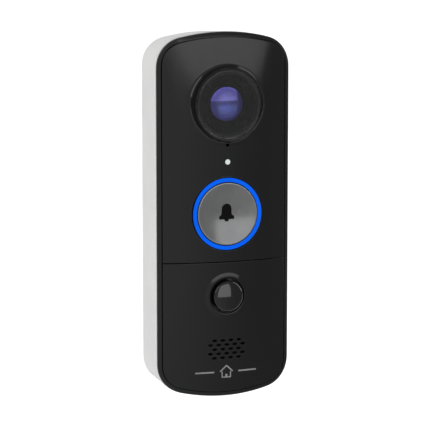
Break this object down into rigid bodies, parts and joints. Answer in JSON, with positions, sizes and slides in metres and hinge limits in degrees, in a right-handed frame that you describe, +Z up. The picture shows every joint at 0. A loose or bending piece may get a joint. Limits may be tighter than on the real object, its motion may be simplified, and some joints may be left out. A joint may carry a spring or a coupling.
{
  "type": "video doorbell",
  "caption": "Wall-hung battery video doorbell: tall rounded white housing with a bowed black face carrying a camera, a lit round push button, a motion sensor dome and a speaker grille.",
  "frame": {"origin": "middle of the wall plate's back face, where it lies on the wall", "axes": "+Y into the wall, the doorbell's face looks along -Y; +Z up along the length; +X to the viewer's right"},
  "size_m": [0.05, 0.03, 0.1312],
  "materials": {
    "white_shell": "satin moulded white ABS",
    "black_gloss": "black moulded polycarbonate, soft gloss",
    "black_matte": "fine-grained black plastic",
    "black_rubber": "soft matt silicone rubber",
    "dark_glass": "tinted cover glass",
    "lens_glass": "coated optical glass",
    "satin_metal": "spun satin metal",
    "steel": "bright zinc-plated steel",
    "gold": "plated brass",
    "blue_light": "translucent light pipe, lit blue",
    "white_light": "translucent white light pipe",
    "board": "solder-masked circuit board",
    "chip": "moulded epoxy",
    "cell_wrap": "aluminised pouch film"
  },
  "bodies": {
    "mount": {"mounting_plate": "black_matte", "security_screw": "steel"},
    "doorbell": {"battery_bracket": "black_matte", "battery_pack": "cell_wrap", "button_board": "board", "button_switch": "chip", "camera_board": "board", "charge_board": "board", "front_frame": "black_gloss", "grille_mesh": "black_matte", "housing_screw_1": "steel", "housing_screw_2": "steel", "housing_screw_3": "steel", "housing_screw_4": "steel", "image_sensor": "chip", "ir_board": "board", "ir_led_1": "white_light", "ir_led_2": "white_light", "ir_led_3": "white_light", "ir_led_4": "white_light", "lens_barrel": "black_matte", "lens_bezel": "black_gloss", "lens_front_element": "lens_glass", "lens_holder": "black_matte", "lens_rear_element": "lens_glass", "lens_shroud": "black_matte", "lens_window": "dark_glass", "light_ring": "blue_light", "lower_fascia": "black_gloss", "main_board": "board", "mic_boot": "black_rubber", "microphone": "steel", "perimeter_gasket": "black_rubber", "pir_lens": "black_gloss", "pir_sensor": "steel", "processor": "chip", "rear_housing": "white_shell", "reset_switch": "chip", "ring_led_1": "blue_light", "ring_led_2": "blue_light", "ring_led_3": "blue_light", "ring_led_4": "blue_light", "speaker_basket": "black_matte", "speaker_cone": "chip", "speaker_gasket": "black_rubber", "speaker_magnet": "steel", "status_led": "white_light", "status_lens": "white_light", "terminal_block": "chip", "terminal_screw_left": "gold", "terminal_screw_right": "gold", "upper_fascia": "black_gloss", "usb_port": "steel", "wifi_antenna": "gold", "wifi_shield": "steel", "window_gasket": "black_rubber"},
    "button": {"button_cap": "satin_metal", "switch_plunger": "chip"},
    "flap": {"port_cover": "black_rubber"},
    "reset": {"reset_button": "black_rubber"}
  },
  "joints": [
    {"name": "lift_off", "type": "slide", "parent": "mount", "child": "doorbell", "axis": [0, 0, 1], "range_m": [0, 0.008]},
    {"name": "button_press", "type": "slide", "parent": "doorbell", "child": "button", "axis": [0, 1, 0], "range_m": [0, 0.0006], "stiffness_N_per_m": 900, "springref_m": -0.0015},
    {"name": "reset_press", "type": "slide", "parent": "doorbell", "child": "reset", "axis": [0, -1, 0], "range_m": [0, 0.0004], "stiffness_N_per_m": 900, "springref_m": -0.001},
    {"name": "port_cover_open", "type": "hinge", "parent": "doorbell", "child": "flap", "pos_m": [0, -0.01, -0.0646], "axis": [1, 0, 0], "range_deg": [0, 100]}
  ]
}
